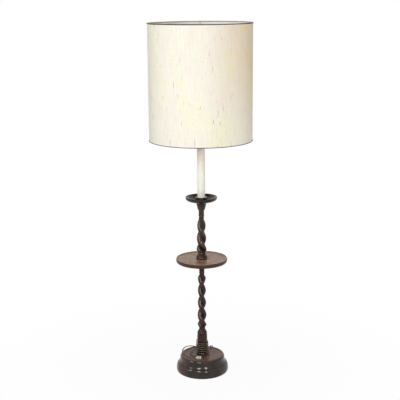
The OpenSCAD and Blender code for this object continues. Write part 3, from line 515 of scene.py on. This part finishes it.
def power_curve(a, b, p, n):
    """A curve that flares towards b."""
    return [(a[0] + (b[0] - a[0]) * (i / n) ** p,
             a[1] + (b[1] - a[1]) * i / n) for i in range(n + 1)]


def smooth(x):
    """Eases from 0 at 0 to 1 at 1."""
    x = max(0.0, min(1.0, x))
    return x * x * (3 - 2 * x)


# ---------------------------------------------------------------- flex and plug

FLEX_R, FLEX_STEP = 2.5, 1.6
STRAND_R, STRAND_APART = 1.38, 1.12  # a strand's radius, and its middle's way from the flex's
MOUTH = (0, 129, 21)  # where it leaves the base
PLUG_AT, PLUG_MID = (-31, -63.5), 84.5  # where the flex enters the plug: (x, y) and height

# The winding round the post: a tight part that comes down, then loose turns on the base
WIND_R, WIND_FLOOR, WIND_TOP, WIND_PITCH, WIND_TURNS = 26.7, 80.8, 140.5, 9.0, 5.75
WIND_HOOK, WIND_OPENS = 5, 5.6  # how far it hooks down as it starts, and opens on the base
# Loops that stand away from the post: how far, at which turn, over how much of a turn
WIND_LOOPS = ((24, 5.27, 0.29), (8, 4.26, 0.26), (3.5, 3.24, 0.26))
LOOP_SAG, LOOP_SAG_AT, LOOP_SAG_OVER = 3, 4.26, 0.26
POINTS_A_TURN = 24
POST_NEAR_R, POST_NEAR_Z = 34, 92  # within and above these the flex lies against the post

LEAD_ROUTE = [
    (0, 141, 21), (1, 153, 19.5), (3, 165, 15), (6, 177, 8.5), (10, 189, 4), (17, 201, 3),
    (26, 211, 3), (38, 218, 3), (51, 220, 3), (64, 217, 3), (75, 209, 3), (82, 198, 3),
    (85, 185, 3), (84, 172, 3), (80, 159, 3), (74.5, 146.5, 3), (69, 134.5, 3), (64, 124.5, 5),
    (60, 116, 10.5), (57.5, 110.5, 19), (56.2, 107.8, 30), (54.4, 104.6, 41.5), (51.5, 99.5, 52.5),
    (49.5, 96, 63), (48.5, 93.8, 72), (46.3, 89.2, 80.6), (42.3, 81.4, 85.3), (38, 72.7, 87),
    (34.5, 63.5, 85), (32, 54, 84), (29, 45, 87.5), (25.5, 38, 94), (25.5, 31, 103),
    (26.5, 26.5, 112), (25, 22, 122), (23.5, 23.5, 133.5), (18.5, 26.5, 140), (12, 27, 144.5),
]
TAIL_ROUTE = [
    (32, 17, 81), (30, 29, 81), (25, 41, 81), (17, 51, 81), (7, 59, 81), (-5, 66, 81),
    (-17, 72, 81.5), (-29, 77, 82.5), (-42, 79, 84), (-54, 77, 86), (-66, 70, 88),
    (-77, 60, 89), (-85, 47, 88), (-90, 33, 86), (-92, 19, 84.5), (-92, 5, 83.5),
    (-89, -9, 83.5), (-83, -21, 83), (-75, -32, 81.5), (-66, -42, 81), (-57, -51, 81),
    (-48, -58, 82), (-39, -63, 84),
]


def hump(t, at, half_width):
    x = (t - at) / half_width
    return (1 - x * x) ** 2 if abs(x) < 1 else 0.0


def wind_point(t):
    """The winding's point after t turns; from about 4.5 turns on it lies on the base."""
    r = WIND_R + WIND_OPENS * smooth((t - 4.4) / 0.5)
    for out, at, half_width in WIND_LOOPS:
        r += out * hump(t, at, half_width)
    tight = WIND_TOP - WIND_PITCH * t - WIND_HOOK * smooth(t / 0.6) + WIND_HOOK
    low = smooth((t - 4.55) / 0.85)
    sag = LOOP_SAG * hump(t, LOOP_SAG_AT, LOOP_SAG_OVER)
    z = tight * (1 - low) + WIND_FLOOR * low - sag
    a = math.radians(90 + 360 * t)
    return (r * math.cos(a), r * math.sin(a), z)


def spline(points, step):
    """A Catmull-Rom line through the points, with a point about every step."""
    p = [Vector(q) for q in points]
    p = [p[0] * 2 - p[1]] + p + [p[-1] * 2 - p[-2]]
    line = []
    for i in range(1, len(p) - 2):
        n = max(1, round((p[i + 1] - p[i]).length / step))
        for k in range(n):
            t = k / n
            line.append(0.5 * ((2 * p[i]) + (p[i + 1] - p[i - 1]) * t
                               + (2 * p[i - 1] - 5 * p[i] + 4 * p[i + 1] - p[i + 2]) * t * t
                               + (3 * p[i] - p[i - 1] - 3 * p[i + 1] + p[i + 2]) * t ** 3))
    line.append(p[-2])
    return line


def run_on(end, before):
    """A point one flex's width past the end of a run."""
    return Vector(end) + (Vector(end) - Vector(before)).normalized() * 2 * FLEX_R


def flex_line():
    wound = [wind_point(i / POINTS_A_TURN) for i in range(int(WIND_TURNS * POINTS_A_TURN) + 1)]
    points = ([MOUTH] + LEAD_ROUTE + [run_on(wound[0], wound[1])] + wound
              + [run_on(wound[-1], wound[-2])] + TAIL_ROUTE + [(*PLUG_AT, PLUG_MID)])
    return spline(points, FLEX_STEP)


def square_to(vector, direction):
    return vector - vector.dot(direction) * direction


def wide_ways(line, ahead):
    """Which way the flat flex is wide at each point of its line, turning slowly.

    That is along the post in the winding, and level or round the wood elsewhere. Each
    point keeps 93 % of the way before it, so that the flex never twists sharply.
    """
    wide, up = Vector((1, 0, 0)), Vector((0, 0, 1))
    ways = []
    for point, way in zip(line, ahead):
        level = up.cross(way)
        around = up.cross(Vector((point.x, point.y, 0))).normalized()
        if math.hypot(point.x, point.y) < POST_NEAR_R and point.z > POST_NEAR_Z:
            aim = up if abs(way.z) < 0.6 else around
        elif level.length > 0.45:  # the flex doesn't climb steeply
            aim = level
        else:
            aim = around
        aim = square_to(aim, way).normalized()
        if aim.dot(wide) < 0:
            aim = -aim
        wide = square_to(wide, way)
        wide = (wide.normalized() * 0.93 + aim * 0.07).normalized()
        wide = square_to(wide, way).normalized()
        ways.append(wide.copy())
    return ways


def make_flex(material, across=20):
    """A flat twin flex: two round strands side by side with a waist between them."""
    line = flex_line()
    n = len(line)
    ahead = [(line[min(i + 1, n - 1)] - line[max(i - 1, 0)]).normalized() for i in range(n)]
    verts = []
    for point, way, wide in zip(line, ahead, wide_ways(line, ahead)):
        thin = way.cross(wide)
        for j in range(across):
            a = 2 * math.pi * j / across
            r = (STRAND_APART * abs(math.cos(a))
                 + math.sqrt(STRAND_R ** 2 - (STRAND_APART * math.sin(a)) ** 2))
            verts.append(point + r * (math.cos(a) * wide + math.sin(a) * thin))
    flex = add_mesh("flex_cord", verts, tube_faces(n, across), material, ROOT, 60)
    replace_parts(flex, "cord_lead", "cord_winding", "cord_tail")
    length = sum((b - a).length for a, b in zip(line, line[1:])) * MM
    return flex, length, [tuple(c * MM for c in p) for p in line]


# Sections along the plug: distance from where the flex enters, half width, half height,
# and squareness
PLUG_COLLAR = [
    (0.0, 2.7, 2.7, 2.0), (0.5, 3.6, 3.4, 2.0), (3.0, 4.1, 3.8, 2.1), (4.0, 4.7, 4.3, 2.2),
    (5.0, 6.4, 5.3, 2.6), (6.4, 7.7, 6.0, 3.2), (8.2, 8.3, 6.35, 4.0),
]
PLUG_FRONT = [
    (21.6, 8.4, 6.45, 4.4), (23.6, 8.45, 6.45, 4.4), (23.9, 8.0, 6.1, 4.4), (24.6, 8.0, 6.1, 4.4),
    (24.9, 8.45, 6.45, 4.6), (25.6, 8.4, 6.4, 4.6), (26.0, 8.0, 6.0, 4.6),
]
GRIP_RIBS, GRIP_START, GRIP_PITCH = 5, 9.2, 2.4


def make_plug(material, across=48):
    """A moulded plug: a collar, shoulders with grip ribs, and a flat front."""
    sections = list(PLUG_COLLAR)
    for i in range(GRIP_RIBS):
        x = GRIP_START + i * GRIP_PITCH
        sections += [(x, 8.35, 6.4, 4.2), (x + 0.7, 7.75, 6.4, 4.2), (x + 1.5, 7.75, 6.4, 4.2)]
    sections += PLUG_FRONT
    verts = []
    for x, half_width, half_height, power in sections:
        for j in range(across):
            a = 2 * math.pi * j / across
            c, s = math.cos(a), math.sin(a)
            y = math.copysign(abs(c) ** (2 / power), c) * half_width
            z = math.copysign(abs(s) ** (2 / power), s) * half_height
            verts.append((PLUG_AT[0] + x, PLUG_AT[1] + y, PLUG_MID + z))
    plug = add_mesh("plug_moulding", verts, tube_faces(len(sections), across), material, ROOT,
                    32)
    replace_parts(plug, "plug_body")
    return plug


# ---------------------------------------------------------------- shade

CLOTH_R, CLOTH_MOST_R, LINING_R = 227.0, 227.28, 225.7  # the second is of the thickest slub
AROUND_SHADE, UP_SHADE, UP_LINING = 960, 120, 9  # points in a thread's circle, and rows
SLUBS, SLUB_LIFT = 520, 0.9
SEAM_HALF_WIDTH, SEAM_LIFT = 6.5, 0.22
# The binding's outside, where it lies on the cloth, its inside, and its thickness over the edge
TRIM_R, TRIM_SEAT_R, TRIM_IN_R, TRIM_LIP = 228.45, 227.3, 225.75, 0.98


def make_shade(cloth, lining):
    """The cover: slub silk on a stiff backing, lapped in a seam at the back."""
    around, up = AROUND_SHADE, UP_SHADE
    low, high = Z_HEM + 1, Z_TOP - 1
    rng = np.random.default_rng(7)
    # Slubs: long thick places in single threads
    lift = np.zeros((up + 1, around))
    z = np.linspace(0, 1, up + 1)
    for _ in range(SLUBS):
        thread, z0, long = rng.integers(around), rng.random(), rng.uniform(0.01, 0.06)
        lift[:, thread] += rng.uniform(0.10, 0.26) * np.exp(-(((z - z0) / long) ** 2))
    lift += 0.02 * rng.standard_normal((1, around))
    lift = np.clip(lift, -0.05, 0.28)
    angle = 2 * math.pi * np.arange(around) / around
    from_back = np.abs((angle - math.pi / 2 + math.pi) % (2 * math.pi) - math.pi)
    seam = np.where(from_back * CLOTH_R < SEAM_HALF_WIDTH, SEAM_LIFT, 0.0)
    radius = np.minimum(CLOTH_R + lift * SLUB_LIFT + seam, CLOTH_MOST_R)
    rows = [(radius[i], low + (high - low) * i / up) for i in range(up + 1)]
    rows += [(LINING_R, high - (high - low) * i / (UP_LINING - 1)) for i in range(UP_LINING)]
    verts = []
    for r, h in rows:
        verts += list(zip(r * np.cos(angle), r * np.sin(angle), [h] * around))
    faces = grid_faces(len(rows), around, wrap_rows=True)
    piece = add_mesh("shade_cover", verts, faces, [cloth, lining], SHADE, 50)
    kind = [0] * (up * around) + [1] * ((len(rows) - up) * around)
    piece.data.polygons.foreach_set("material_index", kind)
    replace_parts(piece, "shade_drum")
    return piece


def make_trim(name, node, edge, way, height, material):
    """A binding tape folded over an edge of the shade; way is 1 at the top, -1 at the hem."""
    outline = [
        (TRIM_SEAT_R, -height), (TRIM_R - 0.5, -height), (TRIM_R - 0.12, -height + 0.25),
        (TRIM_R, -height + 0.8), (TRIM_R, -TRIM_LIP * 1.4), (TRIM_R - 0.15, -0.55),
        (TRIM_R - 0.6, -0.15), (TRIM_R - 1.2, 0.0), (TRIM_IN_R + 0.5, 0.0),
        (TRIM_IN_R + 0.1, -0.2), (TRIM_IN_R, -0.55), (TRIM_IN_R, -TRIM_LIP),
        (TRIM_SEAT_R, -TRIM_LIP),
    ]
    points = [(r, edge + way * z) for r, z in outline]
    if way < 0:
        points.reverse()
    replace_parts(lathe(name, points, material, SHADE, 360, 50), node)


# ---------------------------------------------------------------- turned columns

PITCH, AROUND = 117.0, 144
BORE_R, TWIST_STEP = 5.6, 1.6
CLOSED_FOOT, CLOSED_HEAD = 0.07, 0.08  # shares of the twist in which the strands part and close
TURNED_WEAR = 0.35  # how much the stain is worn on the turned ends


def column(name, node, foot, head, z0, z1, strand, taper, spread, side, material):
    """A turned foot and head with two left-handed strands between them, bored for the pipe.

    The strands run from z0 to z1. strand is their radius at both ends, taper how it shrinks,
    spread how far their middles lie from the axis, and side a height where they lie left
    and right.
    """
    phi = 2 * math.pi * np.arange(AROUND) / AROUND
    rows, high, low = [], [], []

    def plain(outline, worn_and_lit, painted_shade):
        for r, z in outline:
            rows.append((z, np.full(AROUND, r)))
            high.append(np.full(AROUND, worn_and_lit))
            low.append(np.full(AROUND, painted_shade))

    plain(foot, TURNED_WEAR, 0.0)
    n = int((z1 - z0) / TWIST_STEP)
    for i in range(n + 1):
        t = i / n
        z = z0 + (z1 - z0) * t
        a = strand[0] + (strand[1] - strand[0]) * (1 - (1 - t) ** taper)
        b = spread[1] + (spread[0] - spread[1]) * (1 - t) ** 2
        part = b * smooth(t / CLOSED_FOOT) * smooth((1 - t) / CLOSED_HEAD)
        turned = phi + 2 * math.pi * (z - side) / PITCH
        r = part * np.abs(np.cos(turned)) + np.sqrt(a * a - (part * np.sin(turned)) ** 2)
        rows.append((z, r))
        share = (r - r.min()) / max(r.max() - r.min(), 1e-6)
        # Each strand is worn on the side that climbs to the right
        side_on = 0.5 + 0.5 * np.sin(2 * turned)
        deep = part / b
        high.append(np.clip((share - 0.35) / 0.5, 0, 1) * side_on * deep)
        # Painted shade in the grooves between the strands
        low.append(np.clip((0.28 - share) / 0.28, 0, 1) * deep)
    plain(head, TURNED_WEAR, 0.0)
    plain([(BORE_R, head[-1][1]), (BORE_R, foot[0][1])], 0.0, 1.0)
    verts = [(r[j] * math.cos(phi[j]), r[j] * math.sin(phi[j]), z)
             for z, r in rows for j in range(AROUND)]
    faces = grid_faces(len(rows), AROUND, wrap_rows=True)
    piece = add_mesh(name, verts, faces, material, ROOT, 42,
                     {"high": np.array(high), "low": np.array(low)})
    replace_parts(piece, node)


def make_lower_column(material):
    # Where each turned part starts
    z_post = Z_DISH + 10
    z_urn = z_post + 50
    z_neck = z_urn + 38
    z_twist = z_neck + 31
    z_head = Z_TRAY - 34
    z_end = z_head - 20
    foot = ([(25.5, Z_DISH)] + swelling((25.5, Z_DISH), (25.0, z_post), 1.5)
            + quarter_out((24.0, z_post), (22.5, z_post + 4), 5) + [(22.5, z_urn - 1)]
            + swelling((22.5, z_urn), (22.5, z_urn + 38), 0.8, 18)
            + sweep_s((21.3, z_neck + 0.8), (21.8, z_neck + 2), 4)
            + swelling((21.8, z_neck + 2.5), (21.8, z_neck + 10), 0.9, 12)
            + sweep_s((21.4, z_neck + 10.6), (14.0, z_neck + 27)) + [(14.5, z_twist)])
    head = ([(11.2, z_end)] + swelling((11.8, z_end + 0.5), (11.8, z_end + 5), 1.3, 10)
            + [(11.8, z_head - 7)] + swelling((11.8, z_head - 6), (12.2, z_head - 1), 0.9, 10)
            + sweep_s((12.4, z_head), (23.0, Z_TRAY - 8))
            + swelling((24.5, Z_TRAY - 7), (24.5, Z_TRAY), 1.5, 12))
    column("lower_twist", "lower_column", foot, head, z_twist, z_end, strand=(13.9, 10.6),
           taper=3, spread=(9.2, 7.4), side=Z_DISH + 192, material=material)


def make_upper_column(material):
    # Where each turned part starts
    z_twist = Z_COLLAR + 9
    z_cap = Z_PAN - 34
    z_end = z_cap - 21
    foot = ([(18.3, Z_COLLAR)] + swelling((18.3, Z_COLLAR), (18.6, z_twist - 2.5), 0.5, 12)
            + [(17.0, z_twist)])
    head = ([(11.5, z_end)] + swelling((12.2, z_end + 0.5), (12.2, z_end + 5), 0.7, 10)
            + [(12.2, z_cap)] + sweep_s((12.2, z_cap + 0.5), (18.2, Z_PAN - 15))
            + swelling((18.2, Z_PAN - 14), (20.2, Z_PAN - 6), 0.6, 12)
            + power_curve((20.5, Z_PAN - 5.5), (21.8, Z_PAN - 2), 2, 6) + [(21.8, Z_PAN)])
    column("upper_twist", "upper_column", foot, head, z_twist, z_end, strand=(16.4, 10.9),
           taper=1, spread=(7.4, 6.8), side=Z_COLLAR + 16.5, material=material)


# ---------------------------------------------------------------- stage

FLOOR_RINGS, FLOOR_TURNS = (0.3, 1, 3, 8, 30, 90), 64  # metres
FLOOR_GREY = (0.82, 0.82, 0.82, 1)
WHITE_FROM, WHITE_TO = (0.3, 0.95), (1.2, 1.0)  # distance in metres, and the share of white there
WORLD_TINT, WORLD_STRENGTH = (1.0, 0.985, 0.96, 1), 0.22


def make_floor():
    """A pale floor that runs out to white, and keeps a faint shadow of the lamp."""
    turns = FLOOR_TURNS
    verts = [(0, 0, 0)] + [v for r in FLOOR_RINGS for v in ring(turns, r, 0)]
    faces = [(0, 1 + j, 1 + (j + 1) % turns) for j in range(turns)]
    for i in range(len(FLOOR_RINGS) - 1):
        lo, hi = 1 + i * turns, 1 + (i + 1) * turns
        faces += [(lo + j, hi + j, hi + (j + 1) % turns, lo + (j + 1) % turns)
                  for j in range(turns)]
    data = bpy.data.meshes.new("floor")
    data.from_pydata(verts, [], faces)
    floor = bpy.data.objects.new("floor", data)
    scene.collection.objects.link(floor)
    material = bpy.data.materials.new("floor_white")
    material.use_nodes = True
    material.node_tree.nodes.clear()
    t = Nodes(material.node_tree)
    matte = t.node("ShaderNodeBsdfDiffuse")
    matte.inputs["Color"].default_value = FLOOR_GREY
    distance = t.node("ShaderNodeVectorMath", operation="LENGTH")
    t.put(distance.inputs[0], t.node("ShaderNodeTexCoord").outputs["Object"])
    fade = t.node("ShaderNodeMapRange")
    t.put(fade.inputs["Value"], distance.outputs["Value"])
    for end, (at, share) in (("Min", WHITE_FROM), ("Max", WHITE_TO)):
        fade.inputs["From " + end].default_value = at
        fade.inputs["To " + end].default_value = share
    t.finish("ShaderNodeOutputMaterial", t.math("MULTIPLY", t.seen(), fade.outputs[0]),
             matte.outputs[0], t.node("ShaderNodeEmission").outputs[0])
    data.materials.append(material)


def make_world():
    """Soft light from all round, and white behind the lamp and in its reflections."""
    world = bpy.data.worlds.new("studio")
    scene.world = world
    world.use_nodes = True
    world.node_tree.nodes.clear()
    t = Nodes(world.node_tree)
    soft, white = t.node("ShaderNodeBackground"), t.node("ShaderNodeBackground")
    soft.inputs["Color"].default_value = WORLD_TINT
    soft.inputs["Strength"].default_value = WORLD_STRENGTH
    white.inputs["Color"].default_value = (1, 1, 1, 1)
    white.inputs["Strength"].default_value = 1.0
    t.finish("ShaderNodeOutputWorld", t.seen(), soft.outputs[0], white.outputs[0])


LIGHTS_AIM = (0, 0, 0.8)  # metres


def make_light(name, azimuth, elevation, distance, size, power, color=(1, 1, 1), shine=True):
    """A soft area light; azimuth 0 is the camera's side, and grows to the right."""
    data = bpy.data.lights.new(name, "AREA")
    data.shape = "RECTANGLE"
    data.size, data.size_y = size
    data.energy = power
    data.color = color
    lamp = bpy.data.objects.new(name, data)
    scene.collection.objects.link(lamp)
    a, e = math.radians(azimuth), math.radians(elevation)
    away = Vector((math.sin(a) * math.cos(e), -math.cos(a) * math.cos(e), math.sin(e)))
    at = Vector(LIGHTS_AIM) + away * distance
    lamp.matrix_world = Matrix.Translation(at) @ away.to_track_quat("Z", "Y").to_matrix().to_4x4()
    lamp.visible_camera = False
    lamp.visible_glossy = shine


# ---------------------------------------------------------------- build

make_camera()
mats = make_materials()
flex, flex_length, flex_path = make_flex(mats["brown_flex"])
plug = make_plug(mats["ivory_plastic"])

shade = make_shade(mats["shade_cloth"], mats["lining"])
make_trim("top_binding", "top_trim", Z_TOP, 1, 3.8, mats["trim_cloth"])
make_trim("hem_binding", "bottom_trim", Z_HEM, -1, 2.8, mats["trim_cloth"])
felt = lathe("felt_disc", [(1, 0.0), (112.4, 0.0), (112.9, 0.4), (113, 1.0), (112.8, 1.98),
                           (1, 1.98)], mats["felt"], ROOT)
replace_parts(felt, "felt_pad")
make_lower_column(mats["dark_wood"])
make_upper_column(mats["upper_wood"])

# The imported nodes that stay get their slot's material, apart from these
wears = {row["node"]: row["material_slot"] for row in frame["record"]["subparts"]}
wears["base_foot"] = wears["base_cap"] = "base_wood"
wears["drip_pan"] = wears["candle_cup"] = wears["tray_collar"] = "upper_wood"
wears["plug_blades"] = "blades"
for node, obj in frame["nodes"].items():
    for holder in obj.material_slots:
        holder.material = mats[wears[node]]

make_floor()
make_world()
make_light("softbox_left", -17, 20, 3.2, (0.7, 0.9), 28.5)
make_light("softbox_right", 17, 15, 3.2, (0.5, 0.6), 21.5)
make_light("left_window", -60, 22, 3.2, (0.7, 1.0), 28)
make_light("side_fill", 70, 4, 3.4, (2.0, 1.6), 24, color=(1.0, 0.93, 0.82), shine=False)
make_light("back_fill", 172, 12, 3.6, (2.4, 2.0), 42, shine=False)

scene.view_settings.view_transform = "Standard"
print("flex length %.4f m" % flex_length)
